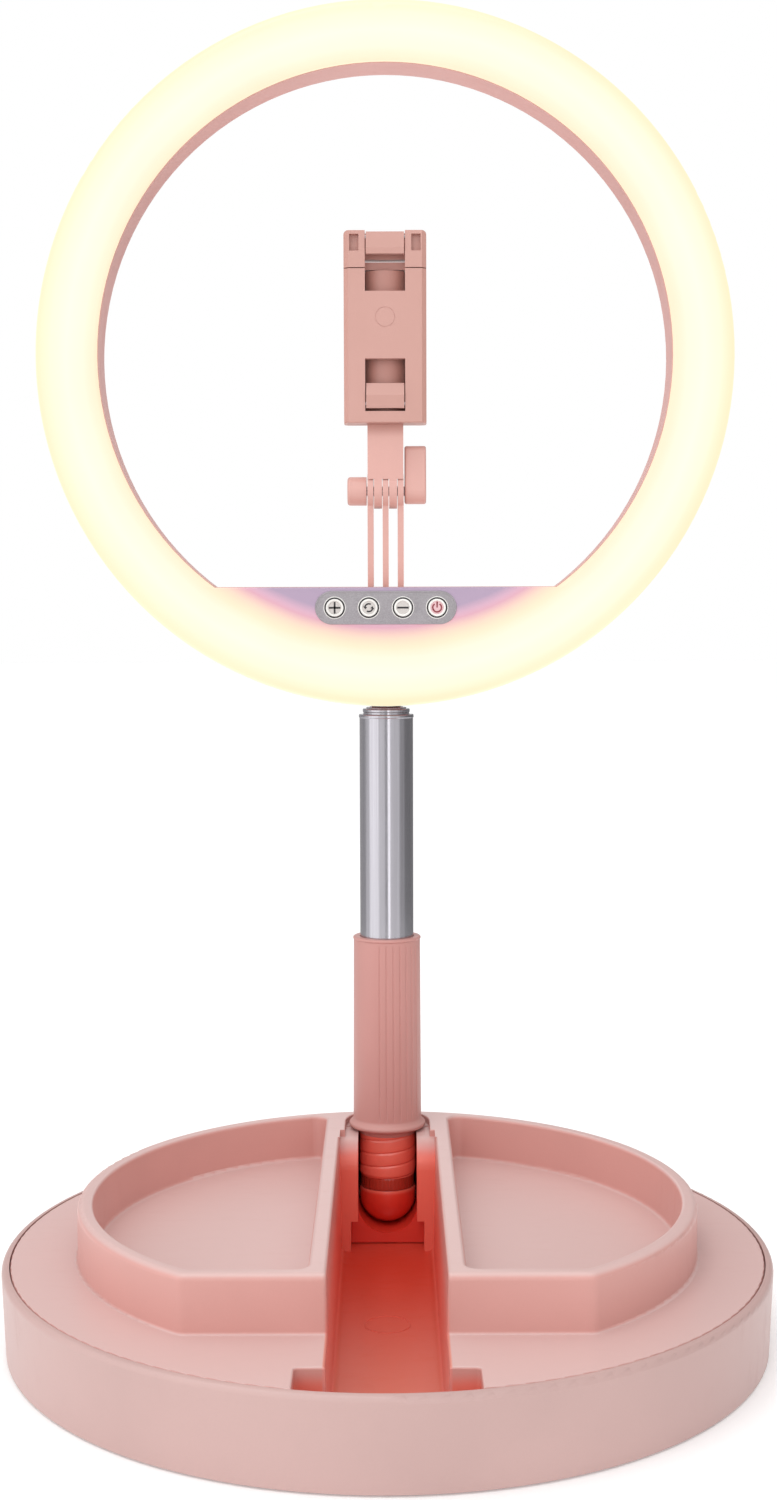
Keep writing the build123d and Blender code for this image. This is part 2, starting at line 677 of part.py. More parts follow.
def windows(z):
    """The holder's window through its front cover, between two heights."""
    return block((-WINDOW_X, WINDOW_X), (70, COVER_SPLIT_Y + 0.1), z)


def holder_cover():
    """Front plate of the holder, with a window at each end."""
    plate = block((-HOLDER_X, HOLDER_X), (HOLDER_Y[0], COVER_SPLIT_Y), HOLDER_Z)
    side = [e for e in plate.edges().filter_by(Axis.Z) if e.center().Y < HOLDER_Y[0] + 0.1]
    plate = chamfer(side, 1.8)
    ends = [e for e in plate.faces().sort_by(Axis.Z)[0].edges() if e.center().Y < COVER_SPLIT_Y - 0.1]
    plate = fillet(ends, 0.6)
    plate -= windows(UPPER_WINDOW_Z)
    plate -= windows(LOWER_WINDOW_Z)
    plate -= crosswise(LOWER_LIP_PIN, LIP_PIN_R, (-WINDOW_X - 1.6, WINDOW_X + 1.6))
    recess = lengthwise((0, RECESS_Z), 4.0, (70, HOLDER_Y[0] + 0.15))
    recess -= lengthwise((0, RECESS_Z), 3.7, (69, 90))
    return plate - recess


def holder_frame():
    """Back half of the holder with the tab that the arm's fins grip."""
    body = block((-HOLDER_X, HOLDER_X), (COVER_SPLIT_Y, HOLDER_Y[1]), HOLDER_Z)
    side = [e for e in body.edges().filter_by(Axis.Z) if e.center().Y > HOLDER_Y[1] - 0.1]
    body = fillet(side, 2.4)
    inside_z = (LOWER_WINDOW_Z[0] - 0.1, 420.0)
    body -= block((-WINDOW_X, WINDOW_X), (70, 84.5), inside_z)
    barrel = upright((0, 92.0), 12.0, (HOLDER_Z[0] + 1.0, HOLDER_Z[1]))
    body += barrel & block((-WINDOW_X, WINDOW_X), (70, HOLDER_Y[1]), HOLDER_Z)
    for side in (-1, 1):
        x = sorted((side * (WINDOW_X - 0.2), side * (LEG_X[1] + 0.35)))
        body -= block(x, (79.6, 84.4), inside_z)
    tab = block((-7.2, 7.2), (79.0, 86.0), (318.0, HOLDER_Z[0] + 2))
    tab += crosswise(AXLE, 7.0, (-7.2, 7.2)) + block((-7.2, 7.2), (79.0, 86.0), (AXLE[1], 320.0))
    for x in FIN_X:
        gap = (x - FIN / 2 - 0.25, x + FIN / 2 + 0.25)
        tab -= crosswise(AXLE, 7.5, gap)
    tab -= crosswise(AXLE, AXLE_R + 0.05, (-20, 20))
    return body + tab


def slider_head():
    """Upper jaw of the holder, on two legs that slide in the frame."""
    body = block((-HOLDER_X, HOLDER_X), HOLDER_Y, SLIDER_Z)
    upright_edges = body.edges().filter_by(Axis.Z)
    front = [e for e in upright_edges if e.center().Y < HOLDER_Y[0] + 0.1]
    body = chamfer(front, 1.8)
    across = [e for e in body.edges().filter_by(Axis.Y) if e.center().Z > SLIDER_Z[1] - 0.1]
    body = fillet(across, 1.5)
    body -= block((-WINDOW_X, WINDOW_X), (70, 82.0), (SLIDER_Z[0] - 1, SLIDER_Z[1] + 1))
    body -= block((-WINDOW_X, WINDOW_X), (70, 90.0), JAW_GAP_Z)
    for side in (-1, 1):
        x = sorted((side * 10.5, side * 14.2))
        body -= block(x, (70, 78.0), JAW_POCKET_Z)
        leg = sorted((side * LEG_X[0], side * LEG_X[1]))
        body += block(leg, (80.0, 84.0), (LEG_FOOT_Z, SLIDER_Z[0] + 0.5))
        ear = sorted((side * WINDOW_X, side * (WINDOW_X + 2)))
        body -= crosswise(UPPER_LIP_PIN, LIP_PIN_R, ear)
    return body


def clamp_springs():
    """Two tension springs that pull the upper jaw down, as plain rods of the coils' size."""
    return [upright((side * SPRING_X, 82.0), 0.8, SPRING_Z) for side in (-1, 1)]


def upper_lip():
    """Fold-out phone rest on the upper jaw, hanging flat in its window."""
    corners = ((75.3, 1.8), (79.0, 1.8), (79.0, -1.6), (78.0, -6.8), (75.3, -6.8), (74.8, -4.5))
    outline = outline_of(*[(y, UPPER_LIP_PIN[1] + rise) for y, rise in corners])
    lip = side_plate(outline, (-LIP_X, LIP_X))
    return lip - crosswise(UPPER_LIP_PIN, LIP_PIN_R + 0.05, (-20, 20))


def lower_lip():
    """Fold-out phone rest at the foot of the holder, standing flat in its window."""
    corners = ((75.4, -1.8), (78.6, -1.8), (79.0, 1.4), (78.2, 8.2), (76.6, 8.2), (74.4, 3.2))
    outline = outline_of(*[(y, LOWER_LIP_PIN[1] + rise) for y, rise in corners])
    lip = side_plate(outline, (-LIP_X, LIP_X))
    return lip - crosswise(LOWER_LIP_PIN, LIP_PIN_R + 0.05, (-20, 20))


def lip_pin(place):
    """Hinge pin of one lip."""
    return crosswise(place, LIP_PIN_R, (-WINDOW_X - 1.6, WINDOW_X + 1.6))


def main():
    os.makedirs("parts", exist_ok=True)
    save("base_shell", base_shell())
    save("deck_tray", deck_tray())
    save("bottom_cover", bottom_cover())
    save("cover_screws", *cover_screws())
    save("counterweights", *counterweights())
    save("rubber_feet", *[upright(p, 8.0, FOOT_Z) for p in FOOT_PLACES])
    save("hinge_cradle", hinge_cradle())
    save("pole_pin", crosswise((POLE_Y, PIVOT_Z), PIVOT_PIN_R, (-CRADLE_X, CRADLE_X)))
    save("pole_foot", pole_foot())
    save("lock_sleeve", lock_sleeve())
    for n in range(5):
        save(f"pole_tube_{n + 1}", section_tube(n))
        if n < 4:
            save(f"tube_collar_{n + 1}", collar(n))
            save(f"slide_ring_{n + 2}", slide_ring(n + 1))
    save("neck_fitting", neck_fitting())
    save("hinge_ears", *hinge_ears())
    save("ring_hinge_pin", hinge_pin())
    save("front_diffuser", front_diffuser())
    save("ring_housing", ring_housing())
    save("led_board", led_board())
    save("leds", *leds())
    save("light_guide", light_guide())
    save("control_plate", control_plate())
    for name, x in zip(("brighter", "mode", "dimmer", "power"), BUTTON_X):
        save(f"{name}_button", button(x))
    save("control_board", control_board())
    save("switches", *switches())
    save("usb_port", usb_port())
    save("housing_screws", *housing_screws())
    save("ear_screws", *ear_screws())
    save("arm_bracket", arm_bracket())
    save("arm_fins", *arm_fins())
    save("arm_pin", arm_pin())
    save("clamp_bolt", clamp_bolt())
    save("clamp_lever", clamp_lever())
    save("cap_nut", cap_nut())
    save("holder_cover", holder_cover())
    save("holder_frame", holder_frame())
    save("slider_head", slider_head())
    save("clamp_springs", *clamp_springs())
    save("upper_lip", upper_lip())
    save("lower_lip", lower_lip())
    save("upper_lip_pin", lip_pin(UPPER_LIP_PIN))
    save("lower_lip_pin", lip_pin(LOWER_LIP_PIN))


main()
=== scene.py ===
import json
import math

import bmesh
import bpy
from mathutils import Matrix, Vector


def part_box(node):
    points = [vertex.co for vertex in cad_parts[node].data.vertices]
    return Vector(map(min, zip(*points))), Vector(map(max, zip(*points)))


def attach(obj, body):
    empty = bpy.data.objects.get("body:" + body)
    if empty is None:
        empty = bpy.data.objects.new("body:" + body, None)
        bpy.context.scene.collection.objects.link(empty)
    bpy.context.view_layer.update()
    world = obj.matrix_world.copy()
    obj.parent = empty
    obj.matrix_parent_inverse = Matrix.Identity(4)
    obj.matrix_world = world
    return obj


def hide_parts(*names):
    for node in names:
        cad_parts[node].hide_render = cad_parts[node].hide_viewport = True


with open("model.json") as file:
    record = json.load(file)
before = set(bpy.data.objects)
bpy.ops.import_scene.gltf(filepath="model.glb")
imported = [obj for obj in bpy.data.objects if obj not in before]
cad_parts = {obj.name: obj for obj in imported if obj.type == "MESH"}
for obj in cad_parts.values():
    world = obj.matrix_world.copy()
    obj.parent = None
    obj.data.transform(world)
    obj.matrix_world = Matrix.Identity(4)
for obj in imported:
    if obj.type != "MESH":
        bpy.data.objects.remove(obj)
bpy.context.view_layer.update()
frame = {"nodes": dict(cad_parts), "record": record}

NODES = frame["nodes"]
MM = 0.001

# ---- Places, from the frame and the object's own dimensions ----

DIFFUSER_LOW, DIFFUSER_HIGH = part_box("front_diffuser")
RING_X = (DIFFUSER_LOW.x + DIFFUSER_HIGH.x) / 2
RING_Z = (DIFFUSER_LOW.z + DIFFUSER_HIGH.z) / 2
RING_R = (DIFFUSER_HIGH.x - DIFFUSER_LOW.x) / 2
HOLE_R = 114.9 * MM  # where the lit band starts, just outside the ring's hole
PANEL_TOP = RING_Z - 92.0 * MM  # the control panel's straight upper edge
PILL_LOW, PILL_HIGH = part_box("control_plate")
POLE_LOW, POLE_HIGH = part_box("pole_tube_1")
POLE_X = (POLE_LOW.x + POLE_HIGH.x) / 2
POLE_Y = (POLE_LOW.y + POLE_HIGH.y) / 2
COVER_LOW, COVER_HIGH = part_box("holder_cover")

# The recesses of the base, where the plastic is painted in deeper pinks as shade
CHANNEL_X = 19.6 * MM
CHANNEL_FRONT_Y, CHANNEL_FADE_Y = -133 * MM, 60 * MM
CHANNEL_RIM_Z, CHANNEL_FLOOR_Z = 49 * MM, 27 * MM
TOWER_Y = 70.0 * MM
TOWER_RIM_Z, TOWER_FLOOR_Z = 49.5 * MM, 41 * MM
HINGE_SLOT_X = 28.9 * MM
HINGE_SLOT_Y = -117.3 * MM
HINGE_SLOT_RIM_Z, HINGE_SLOT_FLOOR_Z = 30.4 * MM, 24 * MM

# The pole's foot: its ribbed band, its lock thread and the spigot above
BAND_LOW, BAND_R, BAND_RIBS = 24.0 * MM, 10.9 * MM, 40
BAND_TOP = 28.8 * MM
THREAD_R = 11.75 * MM
THREAD_DEPTH = 0.5 * MM
THREAD_PITCH = 5.5 * MM
THREAD_LOW, THREAD_TOP = 29.0 * MM, 63.5 * MM
SPIGOT_R = 10.3 * MM


def srgb(red, green, blue):
    """A colour given in 0-255 steps, as linear light."""
    channels = [c / 255 for c in (red, green, blue)]
    return tuple(c / 12.92 if c <= 0.04045 else ((c + 0.055) / 1.055) ** 2.4 for c in channels)


# ---- Materials ----

WALL_PINK = srgb(218, 161, 153)
# The paler pink below is a painted sheen on the base's upward faces.
TOP_SHEEN_PINK = srgb(215, 183, 179)
SHELL_PINK = srgb(200, 166, 161)
MOTTLE_TINT = 0.94
MAP_RANGE_INPUTS = ("From Min", "From Max", "To Min", "To Max")


class Shader:
    """One procedural material: a Principled shader and the nodes that feed it."""

    def __init__(self, name):
        self.material = bpy.data.materials.new(name)
        self.material.use_nodes = True
        self.tree = self.material.node_tree
        self.shader = self.tree.nodes["Principled BSDF"]
        self.place = self.add("ShaderNodeTexCoord").outputs["Object"]

    def add(self, kind):
        return self.tree.nodes.new(kind)

    def put(self, value, socket):
        """Links a socket's output to an input, or sets a plain value on it."""
        if isinstance(value, bpy.types.NodeSocket):
            self.tree.links.new(value, socket)
        else:
            colour = isinstance(value, tuple) and len(value) == 3
            socket.default_value = (*value, 1.0) if colour else value

    def set(self, **values):
        """Sets the shader's own inputs; a name's underscores stand for spaces."""
        for name, value in values.items():
            self.put(value, self.shader.inputs[name.replace("_", " ")])

    def vector(self, operation, first, second=(0.0, 0.0, 0.0)):
        """Arithmetic on whole vectors."""
        node = self.add("ShaderNodeVectorMath")
        node.operation = operation
        self.put(first, node.inputs[0])
        if isinstance(second, bpy.types.NodeSocket):
            self.put(second, node.inputs[1])
        else:
            node.inputs[1].default_value = second
        return node.outputs["Value" if operation == "LENGTH" else "Vector"]

    def math(self, operation, first, second=0.0):
        """Arithmetic on numbers."""
        node = self.add("ShaderNodeMath")
        node.operation = operation
        self.put(first, node.inputs[0])
        self.put(second, node.inputs[1])
        return node.outputs[0]

    def axis(self, letter):
        """One coordinate of the place, in metres."""
        node = self.add("ShaderNodeSeparateXYZ")
        self.put(self.place, node.inputs[0])
        return node.outputs[letter]

    def span(self, value, low, high, to_low=0.0, to_high=1.0):
        """The value carried from one span to another, smoothly and clamped."""
        node = self.add("ShaderNodeMapRange")
        node.interpolation_type = "SMOOTHSTEP"
        self.put(value, node.inputs["Value"])
        for name, number in zip(MAP_RANGE_INPUTS, (low, high, to_low, to_high)):
            node.inputs[name].default_value = number
        return node.outputs["Result"]

    def noise(self, scale, detail=3.0, stretch=(1.0, 1.0, 1.0), roughness=0.5):
        """Fractal noise from 0 to 1, with features of 1/scale metres."""
        node = self.add("ShaderNodeTexNoise")
        self.put(self.vector("MULTIPLY", self.place, stretch), node.inputs["Vector"])
        node.inputs["Scale"].default_value = scale
        node.inputs["Detail"].default_value = detail
        node.inputs["Roughness"].default_value = roughness
        return node.outputs["Fac"]

    def mix(self, factor, first, second, blend="MIX"):
        """A colour between two others."""
        node = self.add("ShaderNodeMix")
        node.data_type = "RGBA"
        node.blend_type = blend
        self.put(factor, node.inputs[0])
        self.put(first, node.inputs[6])
        self.put(second, node.inputs[7])
        return node.outputs[2]

    def ramp(self, factor, *stops):
        """A colour ramp through (position, colour) stops."""
        node = self.add("ShaderNodeValToRGB")
        self.put(factor, node.inputs[0])
        elements = node.color_ramp.elements
        while len(elements) < len(stops):
            elements.new(1.0)
        for element, (position, colour) in zip(elements, stops):
            element.position = position
            element.color = (*colour, 1.0)
        return node.outputs[0]

    def bump(self, height, depth, strength=1.0, under=None):
        """A bump normal from a height of 0 to 1 that stands for a depth in metres."""
        node = self.add("ShaderNodeBump")
        node.inputs["Strength"].default_value = strength
        node.inputs["Distance"].default_value = depth
        self.put(height, node.inputs["Height"])
        if under:
            self.put(under, node.inputs["Normal"])
        return node.outputs["Normal"]


def shade(colour, share):
    """A colour at a share of its brightness."""
    return tuple(c * share for c in colour)


def moulded(name, colour, roughness, grain=0.02, coat=0.0):
    """Moulded plastic: faint flow mottling, a spark-eroded grain and handling marks in the gloss.

    grain is the depth of the spark-eroded skin, in millimetres.
    """
    m = Shader(name)
    mottle = m.span(m.noise(14.0, detail=4.0), 0.35, 0.65)
    speckle = m.span(m.noise(1400.0, detail=2.0), 0.3, 0.7)
    base = m.mix(mottle, colour, shade(colour, MOTTLE_TINT))
    base = m.mix(m.math("MULTIPLY", speckle, 0.06), base, shade(colour, 0.8))
    marks = m.noise(60.0, detail=6.0, stretch=(1.0, 3.0, 1.0), roughness=0.7)
    scuffs = m.span(marks, 0.45, 0.75)
    m.set(Base_Color=base)
    m.set(Roughness=m.span(scuffs, 0.0, 1.0, roughness, roughness + 0.09))
    skin_bump = m.bump(m.noise(2600.0, detail=2.0), grain * MM)
    m.set(Normal=m.bump(m.noise(90.0, detail=2.0), 0.02 * MM, strength=0.5, under=skin_bump))
    m.set(Coat_Weight=coat, Coat_Roughness=0.2)
    return m, base


def facing_up(m):
    """1 on faces that look up and 0 on upright ones, in the piece's own frame."""
    normal = m.add("ShaderNodeTexCoord").outputs["Normal"]
    split = m.add("ShaderNodeSeparateXYZ")
    m.put(normal, split.inputs[0])
    return m.span(split.outputs["Z"], 0.35, 0.95)


def inside(m, axis, low, high, soft):
    """1 between two places on an axis, fading out over a soft distance outside them."""
    place = m.axis(axis)
    rise = m.span(place, low - soft, low)
    fall = m.span(place, high + soft, high)
    return m.math("MULTIPLY", rise, fall)


def pink_base():
    """The base's pink plastic: paler on top as painted sheen, and a deeper red down in the narrow
    channel as painted shade.
    """
    m, base = moulded("pink_base_plastic", WALL_PINK, 0.34)
    # Painted sheen: faces that look up are mixed towards a paler pink.
    base = m.mix(m.math("MULTIPLY", facing_up(m), 0.9), base, TOP_SHEEN_PINK)
    soft = 0.7 * MM

    # Painted shade: down the channel and on the tower's face the colour turns to deeper, redder
    # pinks,
    in_tower = m.span(m.axis("Y"), TOWER_Y - 6 * MM, TOWER_Y)
    # standing in for shade and pink bounce light among the pink walls.
    tower = m.math("MULTIPLY", in_tower, m.span(m.axis("Z"), TOWER_RIM_Z, TOWER_FLOOR_Z))
    depth = m.math("MAXIMUM", m.span(m.axis("Z"), CHANNEL_RIM_Z, CHANNEL_FLOOR_Z), tower)
    channel = m.math("MULTIPLY", inside(m, "X", -CHANNEL_X, CHANNEL_X, soft), depth)
    length = inside(m, "Y", CHANNEL_FRONT_Y, TOWER_Y + 30 * MM, soft)
    channel = m.math("MULTIPLY", channel, length)
    # Painted shade: the channel floor turns darker and redder towards the back, where it lies in
    # shadow.
    back = m.span(m.axis("Y"), CHANNEL_FRONT_Y + 8 * MM, CHANNEL_FADE_Y)
    floor_shade_pink = m.mix(back, srgb(226, 138, 118), srgb(206, 66, 46))
    wall_shade_pink = m.mix(back, srgb(232, 152, 142), srgb(240, 122, 104))
    channel_shade_pink = m.mix(facing_up(m), wall_shade_pink, floor_shade_pink)

    # Painted shade: the sunken hinge slot at the front is given a darker, redder pink.
    sunk = m.span(m.axis("Z"), HINGE_SLOT_RIM_Z, HINGE_SLOT_FLOOR_Z)
    slot = m.math("MULTIPLY", inside(m, "X", -HINGE_SLOT_X, HINGE_SLOT_X, soft), sunk)
    slot = m.math("MULTIPLY", slot, inside(m, "Y", CHANNEL_FRONT_Y, HINGE_SLOT_Y, soft))
    base = m.mix(m.math("MULTIPLY", slot, 0.9), base, srgb(240, 128, 110))
    m.set(Base_Color=m.mix(channel, base, channel_shade_pink))
    return m.material


def pink_shell():
    """The base's outer wall, a greyer shade of the same plastic."""
    return moulded("pink_shell_plastic", SHELL_PINK, 0.36)[0].material


def pink_lamp():
    """The lamp housing's plastic."""
    return moulded("pink_lamp_plastic", srgb(216, 160, 152), 0.38)[0].material


def pink_grip():
    """The lock sleeve's plastic, with a coarser skin."""
    return moulded("pink_grip_plastic", srgb(204, 148, 141), 0.42, 0.03)[0].material


def pink_holder():
    """The holder's plastic, duller on the jaw than on its arm, and with painted shade further in
    its windows.
    """
    m, base = moulded("pink_holder_plastic", srgb(217, 166, 156), 0.4, 0.03)
    jaw = m.span(m.axis("Z"), COVER_LOW.z - 6 * MM, COVER_LOW.z - 1 * MM)
    jaw_tone_and_shade = m.mix(m.span(m.noise(14.0), 0.35, 0.65), srgb(201, 153, 143), srgb(196, 148, 137))
    # Painted shade: further back in the windows between the cover's sides the jaw turns a darker,
    # redder pink.
    behind = inside(m, "Y", COVER_LOW.y + 3.4 * MM, COVER_LOW.y + 9.6 * MM, 1.2 * MM)
    between = inside(m, "X", COVER_LOW.x + 1.5 * MM, COVER_HIGH.x - 1.5 * MM, 0.4 * MM)
    recess = m.math("MULTIPLY", behind, between)
    jaw_tone_and_shade = m.mix(m.math("MULTIPLY", recess, 0.4), jaw_tone_and_shade, srgb(168, 100, 86))
    m.set(Base_Color=m.mix(jaw, base, jaw_tone_and_shade))
    return m.material


def pink_thread():
    """Deep pink nylon of the pole's foot, darker in the ribbed band under the thread."""
    m, base = moulded("pink_thread_plastic", srgb(248, 124, 106), 0.3, coat=0.8)
    base = m.mix(inside(m, "Z", BAND_LOW, BAND_TOP, 0.3 * MM), base, srgb(176, 62, 46))
    below = m.span(m.axis("Z"), BAND_LOW, BAND_LOW - 2 * MM)
    m.set(Base_Color=m.mix(below, base, srgb(226, 66, 50)))
    return m.material


def opal():
    """Opal cover: a lit cream band that falls off into the violet, unlit control panel."""
    m = Shader("opal_cover")
    from_centre = m.vector("SUBTRACT", m.place, (RING_X, 0.0, RING_Z))
    radius = m.vector("LENGTH", m.vector("MULTIPLY", from_centre, (1.0, 0.0, 1.0)))
    cloud = m.noise(30.0)
    wavy = m.math("ADD", radius, m.span(cloud, 0.0, 1.0, -0.5 * MM, 0.5 * MM))
    band = m.span(wavy, HOLE_R - 1 * MM, RING_R)
    lit = m.ramp(
        band,
        (0.0, srgb(250, 238, 205)),
        (0.15, srgb(252, 247, 222)),
        (0.5, srgb(252, 250, 230)),
        (0.85, srgb(252, 248, 218)),
        (1.0, srgb(250, 240, 200)),
    )
    under = m.span(m.axis("Z"), PANEL_TOP + 0.6 * MM, PANEL_TOP - 0.2 * MM)
    reach = m.span(wavy, HOLE_R - 24 * MM, HOLE_R + 2.5 * MM)
    fade = m.ramp(
        reach,
        (0.0, (0.0, 0.0, 0.0)),
        (0.45, srgb(36, 16, 30)),
        (0.72, srgb(176, 108, 104)),
        (0.9, srgb(247, 212, 186)),
        (1.0, srgb(250, 238, 205)),
    )
    within = m.math("SUBTRACT", 1.0, m.span(wavy, HOLE_R + 1 * MM, HOLE_R + 3 * MM))
    panel = m.math("MULTIPLY", under, within)
    covered = m.math("SUBTRACT", 1.0, m.span(reach, 0.6, 1.0))
    unlit = m.math("MULTIPLY", panel, covered)
    m.set(Base_Color=m.mix(unlit, srgb(64, 62, 54), srgb(172, 152, 176)))
    m.set(Emission_Color=m.mix(panel, lit, fade))
    m.set(Emission_Strength=m.span(cloud, 0.0, 1.0, 0.95, 1.0))
    m.set(Roughness=m.span(m.noise(500.0), 0.0, 1.0, 0.3, 0.4))
    m.set(Normal=m.bump(m.noise(1800.0, detail=2.0), 0.01 * MM))
    return m.material


def metal(name, colour, roughness, stretch, depth=0.004):
    """Metal with fine drawn lines along one direction and a little uneven polish.

    depth is that of the lines, in millimetres.
    """
    m = Shader(name)
    lines = m.noise(900.0, detail=4.0, stretch=stretch, roughness=0.7)
    cloud = m.noise(25.0, detail=4.0)
    m.set(Base_Color=m.mix(m.span(lines, 0.3, 0.7), colour, shade(colour, 0.88)))
    m.set(Metallic=1.0)
    m.set(Roughness=m.span(m.math("ADD", lines, cloud), 0.6, 1.4, roughness, roughness + 0.08))
    m.set(Normal=m.bump(lines, depth * MM))
    return m.material


def nylon():
    """Grey nylon of the sliding and inner parts."""
    return moulded("grey_nylon", srgb(150, 138, 134), 0.5, 0.03)[0].material


def foot_rubber():
    """Grey rubber with a matt, pitted skin."""
    m = moulded("foot_rubber", srgb(176, 168, 166), 0.75, 0.08)[0]
    pits = m.add("ShaderNodeTexVoronoi")
    m.put(m.place, pits.inputs["Vector"])
    pits.inputs["Scale"].default_value = 1100.0
    m.set(Normal=m.bump(pits.outputs["Distance"], 0.06 * MM))
    return m.material


def circuit():
    """Solder mask with a pattern of tracks under it."""
    m = Shader("circuit_board")
    cells = m.add("ShaderNodeTexBrick")
    m.put(m.place, cells.inputs["Vector"])
    cells.inputs["Scale"].default_value = 260.0
    cells.inputs["Color1"].default_value = (*srgb(232, 232, 226), 1.0)
    cells.inputs["Color2"].default_value = (*srgb(222, 224, 216), 1.0)
    cells.inputs["Mortar"].default_value = (*srgb(196, 204, 190), 1.0)
    m.set(Base_Color=cells.outputs["Color"])
    m.set(Roughness=m.span(m.noise(300.0), 0.0, 1.0, 0.3, 0.5))
    m.set(Normal=m.bump(cells.outputs["Fac"], 0.03 * MM))
    return m.material


def led():
    """Chip packages: a yellow phosphor window in a white body."""
    m = Shader("led_chip")
    grain = m.noise(1500.0)
    m.set(Base_Color=m.mix(m.span(grain, 0.3, 0.7), srgb(250, 226, 120), srgb(244, 238, 214)))
    m.set(Roughness=m.span(grain, 0.0, 1.0, 0.25, 0.45))
    m.set(Emission_Color=(1.0, 0.9, 0.6), Emission_Strength=1.0)
    return m.material


def guide_sheet():
    """Milky sheet printed with a fine dot pattern."""
    m = Shader("light_guide_sheet")
    dots = m.add("ShaderNodeTexVoronoi")
    m.put(m.place, dots.inputs["Vector"])
    dots.inputs["Scale"].default_value = 700.0
    dot = m.span(dots.outputs["Distance"], 0.25, 0.35)
    m.set(Base_Color=m.mix(dot, srgb(252, 252, 250), srgb(226, 230, 232)))
    m.set(Roughness=m.span(dot, 0.0, 1.0, 0.5, 0.25))
    m.set(Normal=m.bump(dot, 0.02 * MM))
    return m.material


def keypad():
    """Satin grey keypad with a fine metallic fleck."""
    m = Shader("keypad_grey")
    fleck = m.noise(2200.0, roughness=0.7)
    cloud = m.noise(120.0)
    tone = m.mix(m.span(cloud, 0.3, 0.7), srgb(150, 145, 149), srgb(141, 136, 140))
    m.set(Base_Color=m.mix(m.span(fleck, 0.42, 0.62, 0.0, 0.5), tone, srgb(176, 172, 176)))
    m.set(Metallic=m.span(fleck, 0.4, 0.7, 0.0, 0.35))
    m.set(Roughness=m.span(fleck, 0.0, 1.0, 0.35, 0.6))
    m.set(Normal=m.bump(fleck, 0.012 * MM))
    return m.material


def button_white():
    """White plastic of the buttons."""
    return moulded("button_white_plastic", srgb(240, 238, 234), 0.3, 0.01)[0].material


def ink(name, colour):
    """Printed ink, thinner and rougher in places."""
    m = Shader(name)
    wear = m.noise(2500.0)
    worn = tuple(min(1.0, c * 1.5 + 0.01) for c in colour)
    m.set(Base_Color=m.mix(m.span(wear, 0.4, 0.8), colour, worn))
    m.set(Roughness=m.span(wear, 0.0, 1.0, 0.4, 0.6))
    m.set(Normal=m.bump(wear, 0.005 * MM))
    return m.material


def stage_white():
    """Pale seamless paper."""
    m = Shader("pale_paper")
    fibre = m.noise(260.0)
    m.set(Base_Color=m.mix(m.span(fibre, 0.3, 0.7), (0.90, 0.90, 0.90), (0.88, 0.88, 0.88)))
    m.set(Roughness=0.9, Specular_IOR_Level=0.1)
    m.set(Emission_Color=(1.0, 1.0, 1.0), Emission_Strength=0.17)
    return m.material


STEEL = srgb(196, 194, 198)
SLOT_MATERIALS = {
    "pink_base": pink_base(),
    "pink_lamp": pink_lamp(),
    "pink_grip": pink_grip(),
    "pink_thread": pink_thread(),
    "pink_holder": pink_holder(),
    "opal": opal(),
    "tube_metal": metal("tube_satin_chrome", srgb(190, 188, 194), 0.16, (1.0, 1.0, 0.01)),
    "pin_steel": metal("pin_steel", STEEL, 0.25, (0.02, 1.0, 1.0)),
    "weight_steel": metal("rolled_steel", srgb(150, 148, 150), 0.45, (0.05, 1.0, 1.0), 0.02),
    "nylon": nylon(),
    "foot_rubber": foot_rubber(),
    "circuit": circuit(),
    "led": led(),
    "guide_sheet": guide_sheet(),
    "keypad": keypad(),
    "button_white": button_white(),
}
# The dark ink also paints the shadow in the gaps round the buttons.
DARK_INK_AND_GAP_SHADOW = ink("dark_ink_and_gap_shadow", srgb(28, 24, 28))
RED_INK = ink("red_ink", srgb(128, 30, 42))
PALE_DISC = moulded("button_face", srgb(206, 200, 196), 0.35, 0.01)[0].material
PINK_DISC = moulded("power_face", srgb(226, 186, 190), 0.35, 0.01)[0].material

SLOT_OF = {s["node"]: s["material_slot"] for s in frame["record"]["subparts"]}


def dress(piece, material):
    """Gives a piece one material."""
    piece.data.materials.clear()
    piece.data.materials.append(material)


for node_name, node in NODES.items():
    dress(node, SLOT_MATERIALS[SLOT_OF[node_name]])
dress(NODES["base_shell"], pink_shell())
# The pin's steel is painted a dark reddish brown, as painted shade in the gap where it shows.
dress(NODES["pole_pin"], metal("pin_steel_in_shade", srgb(70, 40, 36), 0.4, (0.02, 1.0, 1.0)))


# ---- Mesh helpers ----


def finish_mesh(name, mesh, smooth_angle=40.0):
    """Turns a bmesh into a piece in the scene, smooth except at its sharp edges."""
    bmesh.ops.recalc_face_normals(mesh, faces=mesh.faces)
    data = bpy.data.meshes.new(name)
    for face in mesh.faces:
        face.smooth = True
    limit = math.radians(smooth_angle)
    for edge in mesh.edges:
        if len(edge.link_faces) == 2 and edge.calc_face_angle() > limit:
            edge.smooth = False
    mesh.to_mesh(data)
    mesh.free()
    piece = bpy.data.objects.new(name, data)
    bpy.context.scene.collection.objects.link(piece)
    return piece


def add_piece(name, mesh, body, slot, replaced=(), material=None, smooth_angle=40.0):
    """A finished piece: on its body and with its material, the given one or else its slot's."""
    piece = finish_mesh(name, mesh, smooth_angle)
    dress(piece, material or SLOT_MATERIALS[slot])
    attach(piece, body)
    if replaced:
        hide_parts(*replaced)
    return piece


